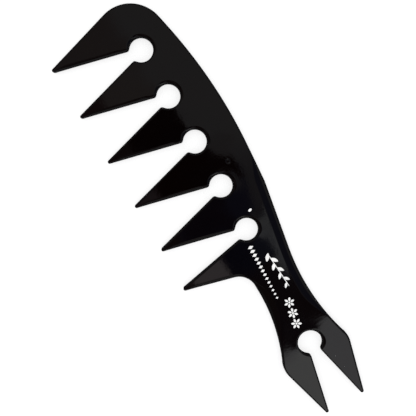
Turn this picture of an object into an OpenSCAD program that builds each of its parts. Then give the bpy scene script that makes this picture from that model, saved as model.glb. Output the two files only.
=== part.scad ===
// Wide-tooth styling comb, moulded in one piece of hard plastic.
//
// Tapered teeth with a keyhole at every root, a waisted handle with soft shoulders,
// and a forked tail that has a keyhole of its own. The comb lies flat on its back face.
// X runs across it, from the tips of the teeth to the spine, Y runs along it, from the
// fork to the head, and Z points up out of the front face. The origin is under the
// middle of the comb, on the surface that it lies on.
//
// The outline is a chain of rounds joined by straight tangent lines, like a belt round
// pulleys. A round is [x, y, radius]. Its radius is negative where the outline is hollow.
// Until the last step, x is measured from the row of keyholes towards the spine, and y
// from the first keyhole towards the head.

/* [Teeth] */
// Number of teeth, with the heel tooth beside the handle
tooth_count = 6; // [4:1:6]
// Distance from one tooth to the next
pitch = 22.1; // [20:0.1:24]
// Reach of the tips from the row of keyholes
tooth_reach = 36.5; // [30:0.1:42]
// Radius of the rounded tips of the teeth and prongs
tip_r = 0.8; // [0.7:0.05:1]
// Reach of the heel tooth
heel_reach = 37.2; // [30:0.1:42]
// Drop of the heel tooth's tip below the last keyhole
heel_drop = 8.9; // [7:0.1:12]

/* [Keyholes] */
// Diameter of the keyholes
keyhole_d = 10.15; // [8:0.05:12]
// Width of the mouth between a gap and its keyhole
mouth_w = 4.85; // [4.2:0.05:6]
// Radius of the two lips of a mouth
lip_r = 1.35; // [0.9:0.05:1.5]

/* [Head and spine] */
// Height of the head above the first keyhole
head_h = 20.45; // [18:0.05:24]
// Radius of the round head
head_r = 15.75; // [12:0.05:17]
// Distance from the row of keyholes to the widest place of the spine
spine_w = 19.3; // [17.5:0.1:22]
// Radius of the long curve of the spine
spine_r = 210; // [180:1:260]
// Height of the shoulder above the last keyhole, where the spine turns into the handle
shoulder_h = 15.1; // [12:0.1:18]
// How far the shoulder stands proud of the curve of the spine
shoulder_proud = 0.75; // [0.6:0.05:1]

/* [Handle] */
// Distance from the row of keyholes to the handle's back edge at the waist
waist_back = 10.55; // [9:0.05:13]
// Distance from the row of keyholes to the handle's front edge at the waist
waist_front = 9.3; // [7.5:0.1:10]
// Radius of the hollow back edge
back_r = 100; // [80:1:130]
// Radius of the hollow front edge
front_r = 85.4; // [70:0.2:100]
// Radius of the hollow between the heel tooth and the handle
heel_r = 8.1; // [6.5:0.1:10]

/* [Fork] */
// Distance from the last keyhole to the end of the prongs
tail_l = 91.5; // [85:0.1:100]
// Width over the elbows of the fork
fork_w = 32.4; // [29:0.1:35]
// Distance between the tips of the two prongs
prong_gap = 18.3; // [16:0.1:21]
// Diameter of the keyhole between the prongs
fork_d = 11.1; // [9:0.1:12]
// Width of the mouth of that keyhole
fork_mouth_w = 5.25; // [4.2:0.05:6]
// Radius of the two elbows
elbow_r = 10.7; // [7:0.1:12]

/* [Section] */
// Thickness of the comb
thickness = 3.4; // [3:0.1:5]
// Radius of the rounded edge all round the outline
edge_r = 0.75; // [0.5:0.05:0.8]
// Width of the eased border on the teeth's lower edges, in the keyholes and on the handle
ease_w = 1.6; // [1.4:0.05:1.8]
// Drop of the faces across the eased border
ease_drop = 0.24; // [0.1:0.01:0.3]
// Width of the soft shoulders along the handle's edges
soft_w = 3.7; // [2.5:0.1:4]
// Drop of the soft shoulders from the face to the edge
soft_drop = 0.55; // [0.2:0.05:0.7]

/* [Hidden] */

chord_error = 0.032;    // largest gap between a true round and its flats
line_min = 0.05;        // keeps a short straight line between two nested rounds
edge_steps = 2;         // flats in the quarter round of an edge
edge_margin = 0.1;      // least width of the border inside the quarter round
wall_min = 0.1;         // least height of the upright wall, on either side of the middle
ease_start = 0.5;       // the eased border starts where the outline turns this far to its side
ease_full = 0.9;        // and has its full width from here on. Both are sines
small_r = 2;            // the border narrows towards rounds smaller than this
small_share = 0.9;      // width of the border on such a round, as a share of its radius
small_growth = 0.2;     // widening of the border for each millimetre away from it
keyhole_r = 6.2;        // hollow rounds smaller than this are keyholes
shoulder_r = 6;         // radius of the shoulder where the spine turns

// Places along the comb, measured down from the last keyhole
heel_y = 23.5;          // middle of the hollow beside the heel tooth
front_y = 26.8;         // waist of the front edge
back_y = 33.9;          // waist of the back edge
fork_y = 58.8;          // keyhole of the fork
elbow_y = 65;           // elbows of the fork
fork_x = -1.1;          // middle of the fork, beside the row of keyholes
back_x = 7;             // points of the outline further out than this are on its back edge

last_y = -(tooth_count - 2) * pitch;
belly_y = 0.466 * last_y;

// The soft shoulders fade in and out between these heights: [out, full, full, out]
soft_back = [last_y + 27, last_y + 14, last_y - 36, last_y - 53];
soft_front = [last_y - 20, last_y - 30, last_y - 36, last_y - 53];

// Large rounds that others lean on
spine = [spine_w - spine_r, belly_y, spine_r];
back_edge = [waist_back + back_r, last_y - back_y, -back_r];
front_edge = [-waist_front - front_r, last_y - front_y, -front_r];

// Centre and radius of a round that leans against the inner side of a larger one at
// height y, and stands a little proud of it
function leaning(large, r, y, proud = line_min) =
    let (reach = abs(large[2]) - r + proud)
    [large.x + sqrt(reach^2 - (y - large.y)^2), y, large[2] > 0 ? r : -r];

// Lip beside the mouth of a keyhole that opens towards -X, on the side given by up = 1 or -1
function lip(hole, mouth, up) =
    let (reach = abs(hole[2]) + lip_r + line_min, across = mouth/2 + lip_r)
    [hole.x - sqrt(reach^2 - across^2), hole.y + up*across, lip_r];

// The same lip for a keyhole that opens towards -Y, on the side given by side = 1 or -1
function end_lip(hole, mouth, side) =
    let (reach = abs(hole[2]) + lip_r + line_min, across = mouth/2 + lip_r)
    [hole.x + side*across, hole.y - sqrt(reach^2 - across^2), lip_r];

// Rounds of one plain tooth and of the keyhole below it
function tooth_rounds(y) =
    let (hole = [0, y, -keyhole_d/2])
    [
        [-tooth_reach + tip_r, y + pitch/2, tip_r],
        lip(hole, mouth_w, 1),
        hole,
        lip(hole, mouth_w, -1)
    ];

// Rounds of the heel tooth and of the hollow between it and the handle
function heel_rounds() = [
    [-heel_reach + tip_r, last_y - heel_drop, tip_r],
    leaning(front_edge, heel_r, last_y - heel_y),
    front_edge
];

// Rounds of the forked tail, from the front elbow round both prongs to the back elbow
function fork_rounds() =
    let (
        hole = [fork_x, last_y - fork_y, -fork_d/2],
        tip_y = last_y - tail_l + tip_r,
        elbow_x = fork_w/2 - elbow_r
    )
    [
        [fork_x - elbow_x, last_y - elbow_y, elbow_r],
        [fork_x - prong_gap/2, tip_y, tip_r],
        end_lip(hole, fork_mouth_w, -1),
        hole,
        end_lip(hole, fork_mouth_w, 1),
        [fork_x + prong_gap/2, tip_y, tip_r],
        [fork_x + elbow_x, last_y - elbow_y, elbow_r]
    ];

// All rounds of the outline, with the comb on the left of the path
function comb_rounds() = concat(
    [leaning(spine, head_r, head_h - head_r)],
    [for (i = [0 : tooth_count - 2], r = tooth_rounds(-i*pitch)) r],
    heel_rounds(),
    fork_rounds(),
    [back_edge, leaning(spine, shoulder_r, last_y + shoulder_h, shoulder_proud), spine]
);

// Direction of the outward normal on the straight line from round a to round b
function line_normal(a, b) =
    let (d = [b.x - a.x, b.y - a.y])
    atan2(d.y, d.x) - acos(max(-1, min(1, (a[2] - b[2]) / norm(d))));

// Angle turned on a round, forwards where it bulges and backwards where it is hollow
function turned(r, from, to) =
    r > 0 ? ((to - from) % 360 + 360) % 360 : -(((from - to) % 360 + 360) % 360);

// Corner points of one round, as [x, y, direction of the outward normal, radius]
function round_points(c, from, to) =
    let (
        angle = turned(c[2], from, to),
        step = 2 * acos(1 - chord_error / max(abs(c[2]), 4*chord_error)),
        n = max(1, ceil(abs(angle) / step))
    )
    [for (i = [0 : n])
        let (a = from + angle*i/n)
        [c.x + c[2]*cos(a), c.y + c[2]*sin(a), a, c[2]]];

// The whole outline, as a closed list of such points
function belt(rounds) =
    let (
        n = len(rounds),
        leave = [for (i = [0 : n-1]) line_normal(rounds[i], rounds[(i+1) % n])]
    )
    [for (i = [0 : n-1], p = round_points(rounds[i], leave[(i+n-1) % n], leave[i])) p];

// Smooth step from 0 at height a to 1 at height b
function smooth(a, b, y) =
    let (t = max(0, min(1, (y - a) / (b - a))))
    t*t*(3 - 2*t);

// How soft the edge is at a point of the outline, from 0 to 1
function softness(p) =
    let (range = p.x > back_x ? soft_back : soft_front)
    smooth(range[0], range[1], p.y) * (1 - smooth(range[2], range[3], p.y));

// How far the edge is eased at a point of the outline, from 0 to 1. On the teeth it is eased
// where it looks to the tail, and in a keyhole where it looks to the side of the tips
function eased(p) =
    let (
        tail = p.y > last_y - heel_y ? -sin(p[2]) : 0,
        side = p[3] < 0 && p[3] > -keyhole_r ? -cos(p[2]) : 0
    )
    smooth(ease_start, ease_full, norm([max(0, tail), max(0, side)]));

// Width of the border at a point of the outline. It is wide where the edge is eased or soft, and
// narrows towards the small rounds of tips and lips, so that it never crosses itself
function border(p, small) =
    let (plain = edge_r + edge_margin)
    min([
        plain + (ease_w - plain)*max(eased(p), softness(p)),
        for (c = small)
            small_share*c[2] + small_growth*max(0, norm([p.x - c.x, p.y - c.y]) - c[2])
    ]);

// Section through the edge, from the back face round the rim to the front face, as
// [inset from the outline, height]. A straight slope makes the soft shoulder, a parabola the
// eased border, and a round ends them. All three are flatter where the comb is too thin for them
function edge_section(soft, ease) =
    let (
        r = min(edge_r, ease - edge_margin),
        inset = ease + soft*(soft_w - ease),
        slope = soft*soft_drop / (inset - r),
        bend = ease_drop / (ease_w - edge_r/2)^2,
        start = atan(slope + 2*bend*(ease - r/2)),
        rows = [inset, (ease + r)/2, r*(1 - sin(start))],
        drops = [for (x = rows) slope*(inset - x) + bend*max(0, ease - x)^2],
        fit = min(1, (thickness/2 - wall_min) / (drops[2] + r*cos(start))),
        lower = [
            [rows[0], 0],
            [rows[1], fit*drops[1]],
            for (i = [0 : edge_steps])
                let (a = start + (90 - start)*i/edge_steps)
                [r*(1 - sin(a)), fit*(drops[2] + r*(cos(start) - cos(a)))]
        ],
        last = len(lower) - 1
    )
    concat(lower, [for (i = [last : -1 : 0]) [lower[i][0], thickness - lower[i][1]]]);

// Solid whose edge section is carried along the outline
module edged_plate(outline, small) {
    n = len(outline);
    m = 2 * (edge_steps + 3);
    points = [
        for (p = outline, s = edge_section(softness(p), border(p, small)))
            [p.x - s[0]*cos(p[2]), p.y - s[0]*sin(p[2]), s[1]]
    ];
    // Two triangles for each step along the outline and up the section
    skin = [
        for (i = [0 : n-1], j = [0 : m-2])
            let (a = i*m + j, b = ((i+1) % n)*m + j)
            each [[a, a+1, b+1], [a, b+1, b]]
    ];
    back_face = [for (i = [0 : n-1]) i*m];
    front_face = [for (i = [n-1 : -1 : 0]) i*m + m - 1];
    // Both faces are flat with many hollow corners, and resize() cuts them into triangles
    resize([0, 0, thickness]) polyhedron(points, concat(skin, [back_face, front_face]));
}

module comb() {
    rounds = comb_rounds();
    small = [for (c = rounds) if (c[2] > 0 && c[2] < small_r) c];
    outline = belt(rounds);
    x = [for (p = outline) p.x];
    y = [for (p = outline) p.y];
    color("#17171a")
        translate([-(min(x) + max(x))/2, -(min(y) + max(y))/2, 0])
            edged_plate(outline, small);
}

comb();
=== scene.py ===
import math

import bpy
import numpy as np
from mathutils import Matrix, Vector
from mathutils.geometry import delaunay_2d_cdt


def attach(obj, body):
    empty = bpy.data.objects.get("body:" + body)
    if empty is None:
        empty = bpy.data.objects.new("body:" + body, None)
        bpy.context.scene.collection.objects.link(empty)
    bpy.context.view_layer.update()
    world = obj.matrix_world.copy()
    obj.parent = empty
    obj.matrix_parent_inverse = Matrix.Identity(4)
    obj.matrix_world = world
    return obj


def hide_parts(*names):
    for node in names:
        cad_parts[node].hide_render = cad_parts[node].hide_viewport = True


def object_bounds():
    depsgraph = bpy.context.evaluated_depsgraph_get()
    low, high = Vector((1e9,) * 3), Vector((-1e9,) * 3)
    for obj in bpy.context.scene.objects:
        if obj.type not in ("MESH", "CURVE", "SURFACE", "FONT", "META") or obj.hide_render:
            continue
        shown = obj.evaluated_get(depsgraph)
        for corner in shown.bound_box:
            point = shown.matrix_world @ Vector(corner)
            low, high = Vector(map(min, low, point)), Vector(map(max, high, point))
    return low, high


# A wide-tooth styling comb in gloss black plastic, lying on its back face. The scene is in
# metres, and the sizes below are in millimetres. The outline is drawn as in the solid: x is
# measured from the row of keyholes towards the spine, y from the first keyhole to the head.

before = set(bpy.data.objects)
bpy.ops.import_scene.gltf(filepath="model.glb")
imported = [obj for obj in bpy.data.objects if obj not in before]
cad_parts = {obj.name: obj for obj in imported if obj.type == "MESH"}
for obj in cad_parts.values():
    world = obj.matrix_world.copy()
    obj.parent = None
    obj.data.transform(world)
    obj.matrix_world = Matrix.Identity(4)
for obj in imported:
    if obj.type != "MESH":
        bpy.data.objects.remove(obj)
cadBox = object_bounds()
mm = 0.001
thickness = (cadBox[1].z - cadBox[0].z) / mm
print("frame:", [round(v / mm, 2) for corner in cadBox for v in corner])


# Outline of the comb, as rounds joined by their common tangents

combShape = {
    "teeth": 6,              # the last one is the heel tooth beside the handle
    "pitch": 22.1,
    "toothReach": 36.5,
    "tipRadius": 0.8,
    "heelReach": 37.2,
    "heelDrop": 8.9,         # the heel tooth's tip, below the last keyhole
    "keyholeWide": 10.15,
    "mouthWide": 4.85,
    "lipRadius": 1.35,
    "headHigh": 20.45,
    "headRadius": 15.75,
    "spineOut": 19.3,        # widest place of the spine
    "spineRadius": 210.0,
    "widestShare": 0.466,    # place of the widest spine, as a share of the way to the last keyhole
    "shoulderHigh": 15.1,    # above the last keyhole
    "shoulderProud": 0.75,
    "shoulderRadius": 6.0,
    "waistBack": 10.55,
    "waistFront": 9.3,
    "backRadius": 100.0,
    "frontRadius": 85.4,
    "heelRadius": 8.1,
    "tailLong": 91.5,
    "forkWide": 32.4,
    "prongGap": 18.3,
    "forkHoleWide": 11.1,
    "forkMouthWide": 5.25,
    "elbowRadius": 10.7,
    "forkAside": -1.1,       # middle of the fork, beside the row of keyholes
    "heelBelow": 23.5,       # places along the handle, below the last keyhole
    "frontBelow": 26.8,
    "backBelow": 33.9,
    "forkBelow": 58.8,
    "elbowBelow": 65.0,
    "shortLine": 0.05,       # least gap between nested rounds
    "chordError": 0.004,
    "longestStep": 0.7,
}
lastY = -(combShape["teeth"] - 2) * combShape["pitch"]


# A round that leans on the inner side of a larger one: its centre lies on a circle about the
# larger one's centre, at the height y
def leaning(large, radius, y, proud):
    reach = abs(large[2]) - radius + proud
    return [large[0] + math.sqrt(reach**2 - (y - large[1])**2), y, math.copysign(radius, large[2])]


# Two lips beside a keyhole's mouth: each touches the keyhole and stands half a mouth away
# from its middle line. The mouth opens towards -x, or towards -y for the fork
def lips(hole, mouth, shape):
    reach = abs(hole[2]) + shape["lipRadius"] + shape["shortLine"]
    across = mouth / 2 + shape["lipRadius"]
    return math.sqrt(reach**2 - across**2), across


# All rounds as x, y, radius, in order round the comb: the head, each tooth's tip with the lips
# and the keyhole below it, the heel tooth, the handle's front edge, the fork, the back edge
# and the spine. A hollow round has a negative radius
def combRounds(shape):
    reach, tip = shape["toothReach"], shape["tipRadius"]
    spine = [shape["spineOut"] - shape["spineRadius"], shape["widestShare"] * lastY,
             shape["spineRadius"]]
    back = [shape["waistBack"] + shape["backRadius"], lastY - shape["backBelow"], -shape["backRadius"]]
    front = [-shape["waistFront"] - shape["frontRadius"], lastY - shape["frontBelow"],
             -shape["frontRadius"]]
    short = shape["shortLine"]
    rounds = [leaning(spine, shape["headRadius"], shape["headHigh"] - shape["headRadius"], short)]
    for row in range(shape["teeth"] - 1):
        y = -row * shape["pitch"]
        hole = [0.0, y, -shape["keyholeWide"] / 2]
        out, across = lips(hole, shape["mouthWide"], shape)
        rounds += [[tip - reach, y + shape["pitch"] / 2, tip], [-out, y + across, shape["lipRadius"]],
                   hole, [-out, y - across, shape["lipRadius"]]]
    rounds += [[tip - shape["heelReach"], lastY - shape["heelDrop"], tip],
               leaning(front, shape["heelRadius"], lastY - shape["heelBelow"], short), front]
    middle, elbow = shape["forkAside"], shape["forkWide"] / 2 - shape["elbowRadius"]
    hole = [middle, lastY - shape["forkBelow"], -shape["forkHoleWide"] / 2]
    out, across = lips(hole, shape["forkMouthWide"], shape)
    elbowY, tipY = lastY - shape["elbowBelow"], lastY - shape["tailLong"] + tip
    rounds += [[middle - elbow, elbowY, shape["elbowRadius"]], [middle - shape["prongGap"] / 2, tipY, tip],
               [middle - across, hole[1] - out, shape["lipRadius"]], hole,
               [middle + across, hole[1] - out, shape["lipRadius"]],
               [middle + shape["prongGap"] / 2, tipY, tip], [middle + elbow, elbowY, shape["elbowRadius"]]]
    rounds += [back, leaning(spine, shape["shoulderRadius"], lastY + shape["shoulderHigh"],
                             shape["shoulderProud"]), spine]
    return np.array(rounds)


# Points of the belt round all rounds, as x, y, the angle of the outward normal and the radius
# (0 on a line). The normal on the line from one round to the next is the line's own angle, less
# the arccosine of the difference of the radii over the distance. A hollow round is turned
# through backwards
def beltOutline(rounds, chordError, longestStep):
    after = np.roll(rounds, -1, axis=0)
    away = after[:, :2] - rounds[:, :2]
    lean = np.arccos(np.clip((rounds[:, 2] - after[:, 2]) / np.hypot(*away.T), -1, 1))
    leave = np.arctan2(away[:, 1], away[:, 0]) - lean
    arrive = np.roll(leave, 1)
    full = 2 * math.pi
    turn = np.where(rounds[:, 2] > 0, (leave - arrive) % full, -((arrive - leave) % full))
    size = np.abs(rounds[:, 2])
    step = np.minimum(2 * np.arccos(1 - chordError / size), longestStep / size)
    parts = []
    for (x, y, r), first, angle, n, (nextX, nextY, nextR) in zip(
            rounds, arrive, turn, np.ceil(np.abs(turn) / step).astype(int), after):
        a = first + angle * np.linspace(0, 1, n + 1)
        parts.append(np.stack([x + r * np.cos(a), y + r * np.sin(a), a, np.full(n + 1, r)], axis=1))
        last = parts[-1][-1]
        goal = np.array([nextX + nextR * math.cos(last[2]), nextY + nextR * math.sin(last[2])])
        pieces = max(1, math.ceil(np.hypot(*(goal - last[:2])) / longestStep))
        share = np.arange(1, pieces)[:, None] / pieces
        line = last[:2] + share * (goal - last[:2])
        parts.append(np.column_stack([line, np.full(len(line), last[2]), np.zeros(len(line))]))
    return np.concatenate(parts)


# Smooth step from 0 at a to 1 at b: 3 t squared less 2 t cubed
def smooth(a, b, value):
    t = np.clip((value - a) / (b - a), 0, 1)
    return t * t * (3 - 2 * t)


rounds = combRounds(combShape)
outline = beltOutline(rounds, combShape["chordError"], combShape["longestStep"])
shift = -(outline[:, :2].min(0) + outline[:, :2].max(0)) / 2      # outline to frame
shift += [(cadBox[0].x + cadBox[1].x) / 2 / mm, (cadBox[0].y + cadBox[1].y) / 2 / mm]
print("outline:", len(outline), "points, frame is", shift.round(3), "further on")


# Relief of both faces. It only goes down from the full thickness, so the box holds

faceRelief = {
    "rimWide": 4.6,          # a keyhole's rim stands proud by rimHigh and falls off over this width
    "rimHigh": 0.046,
    "waves": [(47.0, 20.0, 0.4), (71.0, 95.0, 2.1), (33.0, 140.0, 4.0)],   # length, direction, start
    "waveHigh": 0.005,
    "ringMark": (8.13, -58.6),             # ring left by an ejector
    "ringRadius": 0.86,
    "ringWide": 0.17,
    "ringDeep": 0.065,
    "ringSides": 32,         # of the mesh about the ring, which has circles at these widths from it
    "ringCircles": (-4, -3, -2.2, -1.6, -1.1, -0.6, 0, 0.6, 1.1, 1.6, 2.2, 3, 4, 6),
}


# Depth below the full thickness: the rim's height less a parabola of the distance to the
# nearest keyhole, plus a sum of long sine waves, plus a ring-shaped groove of bell section
def reliefDepth(x, y, relief, shape):
    rows = -np.arange(shape["teeth"] - 1) * shape["pitch"]
    far = np.min([np.hypot(x, y - row) for row in rows], axis=0) - shape["keyholeWide"] / 2
    fork = np.hypot(x - shape["forkAside"], y - lastY + shape["forkBelow"]) - shape["forkHoleWide"] / 2
    near = 1 - np.clip(np.minimum(far, fork) / relief["rimWide"], 0, 1)
    depth = relief["rimHigh"] * (1 - near**2)
    for length, heading, start in relief["waves"]:
        along = x * math.cos(math.radians(heading)) + y * math.sin(math.radians(heading))
        depth = depth + relief["waveHigh"] * (1 + np.sin(2 * math.pi * along / length + start))
    ring = np.hypot(x - relief["ringMark"][0], y - relief["ringMark"][1]) - relief["ringRadius"]
    return depth + relief["ringDeep"] * np.exp(-(ring / relief["ringWide"])**2)


# The moulding itself

combSection = {
    "edgeRadius": 0.75,
    "edgeMargin": 0.1,       # least width of the border inside the quarter round
    "easeWide": 1.6,         # eased border on the teeth's lower edges, in keyholes and on the handle
    "easeDrop": 0.24,
    "easeSines": (0.5, 0.9), # turn of the outline to the eased side: none, full
    "smallRadius": 2.0,      # the border narrows towards rounds smaller than this,
    "smallShare": 0.9,       # to this share of their radius,
    "smallGrowth": 0.2,      # and widens by this much for each millimetre away from them
    "keyholeRadius": 6.2,    # hollow rounds smaller than this are keyholes
    "softWide": 3.7,         # soft shoulders along the handle
    "softDrop": 0.55,
    "crease": 0.4,           # half width of the rounded crease at the top of a shoulder,
    "plainCrease": 0.03,     # and where there is none
    "slopeSteps": 10,
    "roundSteps": 6,
    "backOut": 7.0,          # the outline's back edge lies further out than this
    "softBack": (27.0, 14.0, -36.0, -53.0),     # out, full, full, out, from the last keyhole
    "softFront": (-20.0, -30.0, -36.0, -53.0),
    "meshSize": 1.5,         # triangles of the faces
    "ringClear": 0.45,       # their points keep this share of it away from the ring's,
    "loopClear": 0.55,       # and this share of the outline's longest step from the edge
}


# Width of the eased border: wide where the outward normal points to -y on the teeth or to -x
# in a keyhole, and where the edge is soft. It is narrow near the small rounds of the tips and
# lips, by the distance to them
def easedWidth(x, y, angle, radius, soft, rounds, section, shape):
    plain = section["edgeRadius"] + section["edgeMargin"]
    tail = np.where(y > lastY - shape["heelBelow"], -np.sin(angle), 0)
    side = np.where((radius < 0) & (radius > -section["keyholeRadius"]), -np.cos(angle), 0)
    turned = np.hypot(np.maximum(0, tail), np.maximum(0, side))
    eased = np.maximum(soft, smooth(*section["easeSines"], turned))
    wide = plain + (section["easeWide"] - plain) * eased
    small = rounds[(rounds[:, 2] > 0) & (rounds[:, 2] < section["smallRadius"])]
    away = np.hypot(x[:, None] - small[:, 0], y[:, None] - small[:, 1]) - small[:, 2]
    narrow = section["smallShare"] * small[:, 2] + section["smallGrowth"] * np.maximum(0, away)
    return np.minimum(wide, narrow.min(1))


# Rows of the section from a face to the middle of the wall, as inset and depth. The depth is a
# straight slope from the inset, with a rounded crease, plus a parabola over the eased border.
# A round, tangent to both, ends it
def sectionRows(soft, ease, section):
    radius = np.minimum(section["edgeRadius"], ease - section["edgeMargin"])
    inset = ease + soft * (section["softWide"] - ease)
    slope = soft * section["softDrop"] / (inset - radius)
    bend = section["easeDrop"] / (section["easeWide"] - section["edgeRadius"] / 2)**2
    first = np.arctan(slope + 2 * bend * (ease - radius / 2))
    crease = section["plainCrease"] + soft * (section["crease"] - section["plainCrease"])
    start = radius * (1 - np.sin(first))
    share = np.linspace(0, 1, section["slopeSteps"] + 1)
    fall = (inset - crease)[:, None] + (start - inset + crease)[:, None] * share
    rows = np.hstack([(inset + crease)[:, None], inset[:, None], fall])
    past = inset[:, None] - rows
    creased = np.clip(past + crease[:, None], 0, None)**2 / (4 * crease[:, None])
    line = np.where(past < crease[:, None], creased, past)
    down = slope[:, None] * line + bend * np.clip(ease[:, None] - rows, 0, None)**2
    onward = np.linspace(0, 1, section["roundSteps"] + 1)[1:]
    angle = first[:, None] + (math.pi / 2 - first)[:, None] * onward
    roundDown = down[:, -1:] + radius[:, None] * (np.cos(first)[:, None] - np.cos(angle))
    return np.hstack([rows, radius[:, None] * (1 - np.sin(angle))]), np.hstack([down, roundDown])


# Points on a triangle grid inside a closed loop, clear of the loop by most of a grid step.
# A point is inside if a ray from it crosses the loop an odd number of times
def fillPoints(loop, extra, section):
    size = section["meshSize"]
    low, high = loop.min(0), loop.max(0)
    rowHigh = size * math.sqrt(3) / 2
    column, row = np.meshgrid(np.arange(low[0], high[0], size), np.arange(low[1], high[1], rowHigh))
    column = column + size / 2 * (np.arange(len(row)) % 2)[:, None]
    points = np.column_stack([column.ravel(), row.ravel()])
    nearExtra = np.hypot(*(points[:, None] - extra[None]).transpose(2, 0, 1)).min(1)
    points = np.concatenate([points[nearExtra > section["ringClear"] * size], extra])
    start, end = loop, np.roll(loop, -1, axis=0)
    x, y = points[:, :1], points[:, 1:]
    spans = (start[:, 1] > y) != (end[:, 1] > y)
    rise = np.where(end[:, 1] == start[:, 1], 1, end[:, 1] - start[:, 1])
    cross = start[:, 0] + (y - start[:, 1]) * (end[:, 0] - start[:, 0]) / rise
    inside = (spans & (x < cross)).sum(1) % 2 == 1
    edgeClear = section["loopClear"] * combShape["longestStep"]
    clear = np.hypot(x - loop[:, 0], y - loop[:, 1]).min(1) > edgeClear
    return points[inside & clear]


# A piece from points in millimetres, whose object stays at the origin
def makeMesh(name, points, faces, material, smoothShade=True):
    mesh = bpy.data.meshes.new(name)
    mesh.from_pydata((points * mm).tolist(), [], faces)
    mesh.polygons.foreach_set("use_smooth", [smoothShade] * len(mesh.polygons))
    mesh.materials.append(material)
    mesh.validate()
    mesh.update()
    piece = bpy.data.objects.new(name, mesh)
    bpy.context.scene.collection.objects.link(piece)
    return piece


# The section carried along the outline, closed by the two faces. A point of the rim is the
# outline's point less the inset times the outward normal. Its height is the depth on the back,
# and the thickness less the depth on the front
def makeComb(material):
    x, y, angle, radius = outline.T
    isBack = x[:, None] > combSection["backOut"]
    bands = np.where(isBack, combSection["softBack"], combSection["softFront"]) + lastY
    soft = smooth(bands[:, 0], bands[:, 1], y) * (1 - smooth(bands[:, 2], bands[:, 3], y))
    ease = easedWidth(x, y, angle, radius, soft, rounds, combSection, combShape)
    inset, down = sectionRows(soft, ease, combSection)
    half = inset.shape[1]
    inset = np.hstack([inset, inset[:, ::-1]])
    gridX = x[:, None] - inset * np.cos(angle)[:, None]
    gridY = y[:, None] - inset * np.sin(angle)[:, None]
    depth = reliefDepth(gridX, gridY, faceRelief, combShape)
    gridZ = np.hstack([down + depth[:, :half], thickness - down[:, ::-1] - depth[:, half:]])
    count, rows = gridX.shape
    rim = np.stack([gridX, gridY, gridZ], axis=2).reshape(-1, 3)

    i, j = np.meshgrid(np.arange(count), np.arange(rows - 1), indexing="ij")
    a, b = i * rows + j, (i + 1) % count * rows + j
    quads = np.stack([a, b, b + 1, a + 1], axis=2).reshape(-1, 4)

    turns = np.linspace(0, 2 * math.pi, faceRelief["ringSides"], endpoint=False)
    radii = faceRelief["ringRadius"] + faceRelief["ringWide"] * np.array(faceRelief["ringCircles"])
    ring = (radii[:, None, None] * np.stack([np.cos(turns), np.sin(turns)], axis=1)).reshape(-1, 2)
    ring = np.concatenate([[faceRelief["ringMark"]], ring + faceRelief["ringMark"]])
    loop = np.column_stack([gridX[:, 0], gridY[:, 0]])
    inner = fillPoints(loop, ring, combSection)
    flat = np.concatenate([loop, inner])
    edges = np.column_stack([np.arange(count), (np.arange(count) + 1) % count])
    found = delaunay_2d_cdt([Vector(p) for p in flat.tolist()], edges.tolist(), [], 1, 1e-7)
    triangles = np.array(found[2])
    innerDepth = reliefDepth(inner[:, 0], inner[:, 1], faceRelief, combShape)

    # Corners below count lie on the rim's first or last row, and the others are added
    def corners(rimRow, firstInner):
        return np.where(triangles < count, triangles * rows + rimRow, triangles - count + firstInner)

    lower = corners(0, len(rim))[:, ::-1]
    upper = corners(rows - 1, len(rim) + len(inner))
    points = np.concatenate([rim, np.column_stack([inner, innerDepth]),
                             np.column_stack([inner, thickness - innerDepth])])
    points[:, :2] += shift
    print("comb:", len(points), "points,", len(quads), "quads,", 2 * len(triangles), "triangles,",
          len(found[0]) - len(flat), "points added by the fill")
    return makeMesh("combBody", points, quads.tolist() + lower.tolist() + upper.tolist(), material)


# Node trees

def addNode(tree, kind, **settings):
    node = tree.nodes.new(kind)
    for key, value in settings.items():
        setattr(node, key, value)
    return node


# Feeds a socket with a number, a colour or another node's output
def feed(tree, socket, value):
    if isinstance(value, bpy.types.NodeSocket):
        tree.links.new(value, socket)
    else:
        socket.default_value = value


def maths(tree, operation, *values):
    node = addNode(tree, "ShaderNodeMath", operation=operation)
    for socket, value in zip(node.inputs, values):
        feed(tree, socket, value)
    return node.outputs[0]


def vectorMaths(tree, operation, *values):
    node = addNode(tree, "ShaderNodeVectorMath", operation=operation)
    for socket, value in zip(node.inputs, values):
        feed(tree, socket, value)
    return node.outputs["Value" if operation == "LENGTH" else "Vector"]


# Smooth step of a value between two others
def softStep(tree, value, low, high):
    node = addNode(tree, "ShaderNodeMapRange", interpolation_type="SMOOTHSTEP")
    for name, given in (("Value", value), ("From Min", low), ("From Max", high)):
        feed(tree, node.inputs[name], given)
    return node.outputs["Result"]


def mixColour(tree, factor, first, second):
    node = addNode(tree, "ShaderNodeMix", data_type="RGBA")
    feed(tree, node.inputs[0], factor)
    feed(tree, node.inputs[6], first)
    feed(tree, node.inputs[7], second)
    return node.outputs[2]


def noise(tree, vector, scale, detail):
    node = addNode(tree, "ShaderNodeTexNoise")
    for name, given in (("Vector", vector), ("Scale", scale), ("Detail", detail), ("Roughness", 0.5)):
        feed(tree, node.inputs[name], given)
    return node.outputs["Fac"]


# Coordinates turned and scaled, for marks that run one way
def stretched(tree, vector, scale, turn=0.0):
    node = addNode(tree, "ShaderNodeMapping")
    node.inputs["Rotation"].default_value = (0, 0, math.radians(turn))
    node.inputs["Scale"].default_value = scale
    feed(tree, node.inputs["Vector"], vector)
    return node.outputs[0]


# An empty group with named sockets, and its input and output nodes
def newGroup(name, inputs, outputs):
    group = bpy.data.node_groups.new(name, "ShaderNodeTree")
    for socketName, kind, value in inputs:
        socket = group.interface.new_socket(socketName, in_out="INPUT", socket_type=kind)
        socket.default_value = value
    for socketName, kind in outputs:
        group.interface.new_socket(socketName, in_out="OUTPUT", socket_type=kind)
    return group, addNode(group, "NodeGroupInput"), addNode(group, "NodeGroupOutput")


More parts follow.
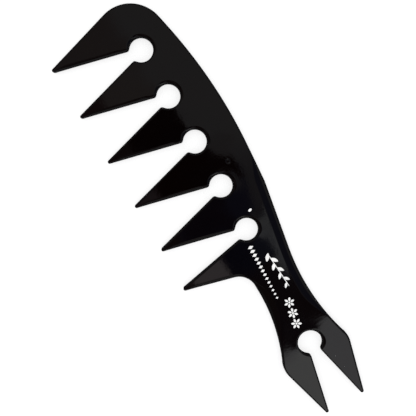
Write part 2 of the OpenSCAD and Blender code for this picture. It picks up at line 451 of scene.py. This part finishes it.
def useGroup(tree, group, values):
    node = addNode(tree, "ShaderNodeGroup", node_tree=group)
    for name, value in values.items():
        feed(tree, node.inputs[name], value)
    return node


mottleLook = {
    "patchSteps": (0.3, 0.7),      # noise that gives no patch, a full patch
    "grainSteps": (0.25, 0.75),
}


# Mottle that the finishes share: soft patches and a fine grain, both between 0 and 1
def mottleGroup(look):
    group, given, out = newGroup(
        "mottle",
        [("Vector", "NodeSocketVector", (0, 0, 0)), ("Patch Size", "NodeSocketFloat", 0.01),
         ("Grain Size", "NodeSocketFloat", 0.001)],
        [("Patches", "NodeSocketFloat"), ("Grain", "NodeSocketFloat")])
    place = given.outputs["Vector"]
    patch = noise(group, place, maths(group, "DIVIDE", 1.0, given.outputs["Patch Size"]), 3.0)
    grain = noise(group, place, maths(group, "DIVIDE", 1.0, given.outputs["Grain Size"]), 2.0)
    feed(group, out.inputs["Patches"], softStep(group, patch, *look["patchSteps"]))
    feed(group, out.inputs["Grain"], softStep(group, grain, *look["grainSteps"]))
    return group


mottle = mottleGroup(mottleLook)


# The mottle at a material's own sizes, as its patches and its grain
def useMottle(tree, place, patchSize, grainSize):
    spots = useGroup(tree, mottle, {"Vector": place, "Patch Size": patchSize, "Grain Size": grainSize})
    return spots.outputs["Patches"], spots.outputs["Grain"]


# Bump of a height times a distance in metres
def addBump(tree, shader, height, distance):
    bump = addNode(tree, "ShaderNodeBump")
    bump.inputs["Distance"].default_value = distance
    feed(tree, bump.inputs["Height"], height)
    feed(tree, shader.inputs["Normal"], bump.outputs["Normal"])


def newMaterial(name):
    material = bpy.data.materials.new(name)
    material.use_nodes = True
    tree = material.node_tree
    place = addNode(tree, "ShaderNodeTexCoord").outputs["Object"]
    return material, tree, tree.nodes["Principled BSDF"], place


blackPlastic = {
    "dark": (0.0003, 0.0002, 0.0002, 1),
    "warm": (0.0007, 0.0004, 0.00035, 1),
    "cool": (0.0003, 0.00035, 0.0006, 1),
    "roughness": (0.03, 0.055),
    "patchSize": 0.014,
    "grainSize": 0.0011,
    "driftSize": 0.03,       # slow drift between the warm and the cool tone
    "driftSteps": (0.35, 0.65),
    "grainDeep": 0.0000011,
    "flowDeep": 0.000004,    # faint flow marks that run down the teeth
    "flowSize": (220.0, 60.0, 60.0),
    "hairlines": 0.02,       # added roughness of fine scratches,
    "hairTurns": (17, 62, 128),          # which run these ways
    "hairSize": (45, 2600, 45),
    "hairSteps": (0.72, 0.78),
    "ior": 1.5,
}


def makeBlackPlastic(look):
    material, tree, shader, place = newMaterial("glossBlackPlastic")
    patches, grain = useMottle(tree, place, look["patchSize"], look["grainSize"])
    drift = softStep(tree, noise(tree, place, 1 / look["driftSize"], 1.0), *look["driftSteps"])
    tone = mixColour(tree, drift, look["warm"], look["cool"])
    depth = maths(tree, "MULTIPLY_ADD", grain, 0.5, maths(tree, "MULTIPLY", patches, 0.5))
    feed(tree, shader.inputs["Base Color"], mixColour(tree, depth, look["dark"], tone))

    lines = []
    for turn in look["hairTurns"]:
        streak = noise(tree, stretched(tree, place, look["hairSize"], turn), 1.0, 0.0)
        lines.append(softStep(tree, streak, *look["hairSteps"]))
    hair = maths(tree, "MAXIMUM", lines[0], maths(tree, "MAXIMUM", lines[1], lines[2]))
    polished, dulled = look["roughness"]
    worn = maths(tree, "MULTIPLY_ADD", patches, dulled - polished, polished)
    feed(tree, shader.inputs["Roughness"], maths(tree, "MULTIPLY_ADD", hair, look["hairlines"], worn))

    flow = noise(tree, stretched(tree, place, look["flowSize"]), 1.0, 1.0)
    grainHigh = maths(tree, "MULTIPLY", grain, look["grainDeep"])
    addBump(tree, shader, maths(tree, "MULTIPLY_ADD", flow, look["flowDeep"], grainHigh), 1.0)
    shader.inputs["IOR"].default_value = look["ior"]
    return material


palePrint = {
    "ink": (0.92, 0.92, 0.91, 1),
    "thin": (0.72, 0.72, 0.72, 1),
    "roughness": (0.38, 0.55),
    "patchSize": 0.002,
    "grainSize": 0.00025,
    "thinShare": (0.2, 0.6), # ink lost in a patch, and more where the grain is high
    "grainDeep": 0.000004,
}


def makePalePrint(look):
    material, tree, shader, place = newMaterial("palePrintInkAndGlint")
    patches, grain = useMottle(tree, place, look["patchSize"], look["grainSize"])
    least, more = look["thinShare"]
    thin = maths(tree, "MULTIPLY", patches, maths(tree, "MULTIPLY_ADD", grain, more, least))
    feed(tree, shader.inputs["Base Color"], mixColour(tree, thin, look["ink"], look["thin"]))
    finest, coarsest = look["roughness"]
    rough = maths(tree, "MULTIPLY_ADD", grain, coarsest - finest, finest)
    feed(tree, shader.inputs["Roughness"], rough)
    addBump(tree, shader, grain, look["grainDeep"])
    return material


# Printed ornament on the handle: a sprig of leaves, a row of small lozenges beside it and
# three flowers below. Three pale dots lie elsewhere: two are specks of dust on a prong, and the
# larger one is painted highlight, a glint painted in the pale ink beside the last keyhole

handlePrintAndGlint = {
    "inkHigh": 0.008,
    "sprig": ((2.6, -103.6), (3.5, -118.6)),   # first and last leaf
    "leaves": 7,
    "leafLong": 3.9,
    "leafWide": 1.7,
    "leafTurn": 38.0,
    "leafAside": 0.95,               # middle of a leaf, beside the stem
    "leafShrink": 0.3,               # the last leaf is smaller by this share
    "leafPower": 1.45,
    "stemSpare": 1.0,                # the stem goes on past the first and the last leaf
    "stemWide": 0.32,
    "stemPower": 6,
    "row": ((-2.5, -96.0), (-3.7, -121.5)),
    "lozenges": 14,
    "lozengeLong": (2.6, 1.2),       # first and last
    "lozengeWide": (1.5, 0.95),
    "lozengePower": 1.1,
    "flowers": ((-0.1, -126.2), (-2.1, -136.2)),
    "flowerCount": 3,
    "petals": 6,
    "flowerTurn": 15,                # each flower from the one above it
    "petalLong": 1.75,
    "petalWide": 1.0,
    "petalFrom": 0.62,               # from the middle of the flower
    "petalPower": 1.7,
    "heartWide": 0.9,
    "sides": 24,
    "rows": ((0.5, 1.0), (0.92, 1.0), (1.0, 0.5), (1.0, -1.5)),    # share of the size, height
    # the first dot is a painted glint, a highlight painted as a pale spot; the other two are dust
    "dustAndGlint": [(5.5, -81.65, 0.85, 0.55, 15), (5.6, -158.4, 0.06, 0.05, 0), (6.75, -164.7, 0.06, 0.05, 0)],
}


# Rows of motifs: x, y, half length, half width, turn in degrees, power of the outline
def printMotifs(look):
    motifs = []
    start, end = np.array(look["sprig"])
    for k in range(look["leaves"]):
        share = k / (look["leaves"] - 1)
        x, y = start + share * (end - start)
        side = 1 if k % 2 else -1
        size = 1 - look["leafShrink"] * share
        motifs.append((x + side * look["leafAside"], y, look["leafLong"] / 2 * size,
                       look["leafWide"] / 2 * size, -90 + side * look["leafTurn"], look["leafPower"]))
    heading = math.degrees(math.atan2(*(end - start)[::-1]))
    stemLong = np.hypot(*(end - start)) / 2 + look["stemSpare"]
    motifs.append((*((start + end) / 2), stemLong, look["stemWide"] / 2, heading, look["stemPower"]))
    start, end = np.array(look["row"])
    for k in range(look["lozenges"]):
        share = k / (look["lozenges"] - 1)
        x, y = start + share * (end - start)
        sizes = (look["lozengeLong"], look["lozengeWide"])
        long, wide = (big + share * (small - big) for big, small in sizes)
        motifs.append((x, y, long / 2, wide / 2, 0, look["lozengePower"]))
    start, end = np.array(look["flowers"])
    for k in range(look["flowerCount"]):
        x, y = start + k / (look["flowerCount"] - 1) * (end - start)
        motifs.append((x, y, look["heartWide"] / 2, look["heartWide"] / 2, 0, 2))
        out = look["petalFrom"] + look["petalLong"] / 2
        for petal in range(look["petals"]):
            turn = 360 * petal / look["petals"] + look["flowerTurn"] * k
            petalX, petalY = x + out * math.cos(math.radians(turn)), y + out * math.sin(math.radians(turn))
            motifs.append((petalX, petalY, look["petalLong"] / 2, look["petalWide"] / 2, turn,
                           look["petalPower"]))
    # pale dots: two specks of dust, and one painted highlight in the ink
    motifs += [(*dot, 2) for dot in look["dustAndGlint"]]
    return np.array(motifs)


# Each motif is a superellipse: |u / length| to the power p plus |v / width| to the power p is
# 1. Rows go from the middle of its top out to the rim and down into the face
def makePrint(look, material):
    motifs = printMotifs(look)
    x, y, long, wide, turn, power = (column[:, None, None] for column in motifs.T)
    angle = np.linspace(0, 2 * math.pi, look["sides"], endpoint=False)[None, None, :]
    share, rise = np.array(look["rows"]).T
    share, rise = share[None, :, None], rise * look["inkHigh"]
    u = long * share * np.sign(np.cos(angle)) * np.abs(np.cos(angle))**(2 / power)
    v = wide * share * np.sign(np.sin(angle)) * np.abs(np.sin(angle))**(2 / power)
    turned = np.radians(turn)
    ringX = x + u * np.cos(turned) - v * np.sin(turned)
    ringY = y + u * np.sin(turned) + v * np.cos(turned)
    ringZ = thickness - reliefDepth(ringX, ringY, faceRelief, combShape) + rise[None, :, None]
    rings = np.stack([ringX, ringY, ringZ], axis=3)
    count, rows, sides = rings.shape[:3]
    middle = rings.mean(2)                                     # centres of the top and the bottom
    block = rows * sides + 2
    points = np.concatenate([rings.reshape(count, -1, 3), middle[:, :1], middle[:, -1:]], axis=1)
    j, i = np.meshgrid(np.arange(rows - 1), np.arange(sides), indexing="ij")
    a, b = j * sides + i, j * sides + (i + 1) % sides
    quads = np.stack([a, a + sides, b + sides, b], axis=2).reshape(-1, 4)
    side = np.arange(sides)
    after = (side + 1) % sides
    top = np.column_stack([np.full(sides, block - 2), side, after])
    lastRow = (rows - 1) * sides
    low = np.column_stack([np.full(sides, block - 1), lastRow + after, lastRow + side])
    offsets = np.arange(count)[:, None, None] * block
    faces = (quads + offsets).reshape(-1, 4).tolist()
    faces += (np.concatenate([top, low]) + offsets).reshape(-1, 3).tolist()
    points = points.reshape(-1, 3)
    points[:, :2] += shift
    print("print:", count, "motifs,", len(faces), "faces")
    return makeMesh("handlePrintAndGlint", points, faces, material, False)


body = makeComb(makeBlackPlastic(blackPlastic))
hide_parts("comb")
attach(body, "root")

ornament = makePrint(handlePrintAndGlint, makePalePrint(palePrint))
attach(ornament, "root")


# Floor, light and camera

floorLook = {
    "radius": 4000.0,
    "gap": 0.02,             # below the comb
    "colour": (0.36, 0.36, 0.36, 1),
    "paler": (0.34, 0.34, 0.345, 1),
    "light": (0.69, 0.69, 0.69, 1),        # a lit table, white with hardly a shadow left
    "roughness": 0.8,
    "patchSize": 0.4,
    "grainSize": 0.004,
    "sides": 96,
}


def makeFloor(look):
    material, tree, shader, place = newMaterial("paleFloor")
    patches = useMottle(tree, place, look["patchSize"], look["grainSize"])[0]
    feed(tree, shader.inputs["Base Color"], mixColour(tree, patches, look["colour"], look["paler"]))
    shader.inputs["Roughness"].default_value = look["roughness"]
    shader.inputs["Emission Color"].default_value = look["light"]
    shader.inputs["Emission Strength"].default_value = 1.0
    turns = np.linspace(0, 2 * math.pi, look["sides"], endpoint=False)
    points = np.column_stack([look["radius"] * np.cos(turns), look["radius"] * np.sin(turns),
                              np.full(look["sides"], -look["gap"])])
    floor = makeMesh("floor", points, [list(range(look["sides"]))], material, False)
    floor.visible_glossy = False      # the walls of the photographed comb mirror no white floor


# What the polished faces mirror. A place is the slope of the mirrored ray: how far it goes
# across (x) and along the comb (y) for each unit that it climbs
studioLook = {
    "dome": (1.12, 1.12, 1.12),            # even light on everything matt
    "ceiling": (0.262, 0.246, 0.248),
    "horizon": (0.06, 0.057, 0.06),
    "horizonSlopes": (0.35, 0.65),         # the ceiling ends between these
    "walls": (0.44, 0.43, 0.44),           # far walls, which only low views mirror
    "wallSlopes": (1.5, 4.0),
    "below": ((0.025, 0.024, 0.025), (0.066, 0.064, 0.066)),   # dark, and lit between the teeth
    "belowSteps": (-0.06, -0.03),          # lit where the ray heads further to -x and -y than this
    "levelSteps": (-0.02, 0.02),           # rays that fall mirror what is below
    "leastClimb": 0.05,
    "panels": [
        # light, centre, half size, turn, softness
        ((0.236, 0.198, 0.188), (-0.105, 0.36), (0.1, 0.27), 0, 0.012),      # far side of the room
        ((0.2, 0.162, 0.156), (-0.105, 0.42), (0.1, 0.25), 0, 0.02),
        ((0.06, 0.052, 0.055), (-0.62, 0.3), (0.36, 0.6), 0, 0.06),          # dark wall on the left
        ((0.17, 0.155, 0.172), (0.2, -0.2), (0.2, 0.13), 0, 0.05),
        ((0.105, 0.065, 0.065), (-0.29, 0.09), (0.2, 0.07), 0, 0.006),
        ((0.07, 0.045, 0.045), (-0.55, -0.22), (0.462, 0.312), 0, 0.006),    # wall on the left
        ((0.19, 0.14, 0.15), (-0.2, -0.05), (0.114, 0.035), 0, 0.004),
        ((0.055, 0.053, 0.1), (-0.018, -0.115), (0.068, 0.055), -12.9, 0.005),
        ((0.036, 0.02, 0.042), (-0.045, -0.135), (0.044, 0.03), 0, 0.015),
        ((0.028, 0.006, 0.004), (-0.016, -0.06), (0.073, 0.04), 0, 0.003),   # dark window
        ((0.228, 0.204, 0.206), (0.0493, -0.0306), (0.022, 0.02), -41.8, 0.003),
        ((0.024, 0.005, 0.003), (-0.038, 0.03), (0.05, 0.058), 0, 0.002),
        ((0.058, 0.035, 0.042), (0.0, -0.29), (0.09, 0.125), 0, 0.01),       # behind the handle
        ((0.07, 0.075, 0.118), (0.0225, -0.225), (0.0195, 0.025), 0, 0.008),
        ((0.034, 0.029, 0.06), (-0.0265, -0.21), (0.025, 0.046), 0, 0.008),
        ((0.59, 0.52, 0.53), (-0.083, -0.225), (0.0318, 0.04), 0, 0.0015),   # behind the heel tooth
        ((0.15, 0.152, 0.18), (0.069, -0.19), (0.031, 0.02), 0, 0.003),
        ((0.5, 0.5, 0.51), (0.067, -0.19), (0.03, 0.015), 12, 0.003),        # slanting light strip
        ((0.5, 0.505, 0.54), (0.0705, -0.231), (0.032, 0.022), 0, 0.0015),
        ((0.5, 0.505, 0.54), (0.068, -0.267), (0.037, 0.021), 12, 0.003),
        ((0.078, 0.077, 0.12), (0.35, -0.3), (0.2, 0.36), 0, 0.06),          # wall on the right
        ((0.26, 0.25, 0.26), (0.98, -0.32), (0.38, 0.4), 0, 0.08),           # window behind it
        ((0.13, 0.12, 0.125), (-0.95, -0.3), (0.3, 0.3), 0, 0.08),           # doorway on the left
        ((0.34, 0.33, 0.34), (-0.55, -2.0), (0.45, 1.1), 0, 0.1),            # far down the table
        ((0.36, 0.35, 0.36), (-0.19, -0.56), (0.11, 0.14), 0, 0.03),         # glow, by the teeth
        ((0.25, 0.245, 0.25), (-0.2, -0.9), (0.12, 0.22), 0, 0.05),
        ((0.94, 0.925, 0.955), (0.01, -0.515), (0.09, 0.11), 11.3, 0.008),   # white wall at the foot
        ((1.12, 1.12, 1.11), (-0.045, -0.53), (0.055, 0.1), 0, 0.012),
    ],
}


# Mask of one soft-edged panel: 1 inside its half size, 0 outside, smooth in between
def panelGroup():
    group, given, out = newGroup(
        "softPanel",
        [("Slope", "NodeSocketVector", (0, 0, 0)), ("Centre", "NodeSocketVector", (0, 0, 0)),
         ("Half Size", "NodeSocketVector", (1, 1, 1)), ("Turn", "NodeSocketFloat", 0.0),
         ("Soft", "NodeSocketFloat", 0.01)],
        [("Mask", "NodeSocketFloat")])
    turned = addNode(group, "ShaderNodeVectorRotate", rotation_type="Z_AXIS", invert=True)
    for name, value in (("Vector", "Slope"), ("Center", "Centre"), ("Angle", "Turn")):
        feed(group, turned.inputs[name], given.outputs[value])
    offset = vectorMaths(group, "SUBTRACT", turned.outputs[0], given.outputs["Centre"])
    away = vectorMaths(group, "ABSOLUTE", offset)
    over = vectorMaths(group, "SUBTRACT", away, given.outputs["Half Size"])
    axes = addNode(group, "ShaderNodeSeparateXYZ")
    feed(group, axes.inputs[0], over)
    inside = maths(group, "MULTIPLY", given.outputs["Soft"], -1.0)
    past = [softStep(group, axes.outputs[k], inside, given.outputs["Soft"]) for k in (0, 1)]
    sides = [maths(group, "SUBTRACT", 1.0, value) for value in past]
    feed(group, out.inputs["Mask"], maths(group, "MULTIPLY", sides[0], sides[1]))
    return group


# The world: an even dome for matt surfaces, and for mirrored rays the ceiling, the far walls
# and the panels laid over them in order
def makeStudio(look):
    world = bpy.data.worlds.new("studio")
    bpy.context.scene.world = world
    world.use_nodes = True
    tree = world.node_tree
    heading = addNode(tree, "ShaderNodeTexCoord").outputs["Generated"]
    axes = addNode(tree, "ShaderNodeSeparateXYZ")
    feed(tree, axes.inputs[0], heading)
    climb = maths(tree, "MAXIMUM", axes.outputs["Z"], look["leastClimb"])
    slopes = addNode(tree, "ShaderNodeCombineXYZ")
    feed(tree, slopes.inputs["X"], maths(tree, "DIVIDE", axes.outputs["X"], climb))
    feed(tree, slopes.inputs["Y"], maths(tree, "DIVIDE", axes.outputs["Y"], climb))
    slope = slopes.outputs[0]
    length = vectorMaths(tree, "LENGTH", slope)
    away = softStep(tree, length, *look["horizonSlopes"])
    light = mixColour(tree, away, (*look["ceiling"], 1), (*look["horizon"], 1))
    light = mixColour(tree, softStep(tree, length, *look["wallSlopes"]), light, (*look["walls"], 1))
    panel = panelGroup()
    for level, centre, half, turn, soft in look["panels"]:
        mask = useGroup(tree, panel, {"Slope": slope, "Centre": (*centre, 0), "Half Size": (*half, 1),
                                      "Turn": math.radians(turn), "Soft": soft}).outputs["Mask"]
        light = mixColour(tree, mask, light, (*level, 1))
    dark, lit = look["below"]
    corner = maths(tree, "MAXIMUM", axes.outputs["X"], axes.outputs["Y"])
    below = mixColour(tree, softStep(tree, corner, *look["belowSteps"]), (*lit, 1), (*dark, 1))
    light = mixColour(tree, softStep(tree, axes.outputs["Z"], *look["levelSteps"]), below, light)
    mirrored = addNode(tree, "ShaderNodeLightPath").outputs["Is Glossy Ray"]
    background = tree.nodes["Background"]
    feed(tree, background.inputs["Color"], mixColour(tree, mirrored, (*look["dome"], 1), light))


cameraLook = {
    "lens": 50.0,
    "place": (5.64, 36.93, 251.03),
    "lookAt": (-0.758, 7.977, 1.7),
    "turn": 30.52,           # of the comb in the picture
}


# The camera looks from its place to a point, with the comb's length turned in the picture
def makeCamera(look):
    data = bpy.data.cameras.new("camera")
    data.lens = look["lens"]
    data.sensor_width = 36.0
    camera = bpy.data.objects.new("camera", data)
    bpy.context.scene.collection.objects.link(camera)
    place = Vector(look["place"]) * mm
    back = (place - Vector(look["lookAt"]) * mm).normalized()
    turn = math.radians(look["turn"])
    right = Vector((math.sin(turn), math.cos(turn), 0)).cross(back).normalized()
    axes = Matrix((right, back.cross(right), back)).transposed()
    camera.matrix_world = Matrix.Translation(place) @ axes.to_4x4()
    bpy.context.scene.camera = camera


makeFloor(floorLook)
makeStudio(studioLook)
makeCamera(cameraLook)
bpy.context.scene.view_settings.view_transform = "Standard"
print("studio: done")
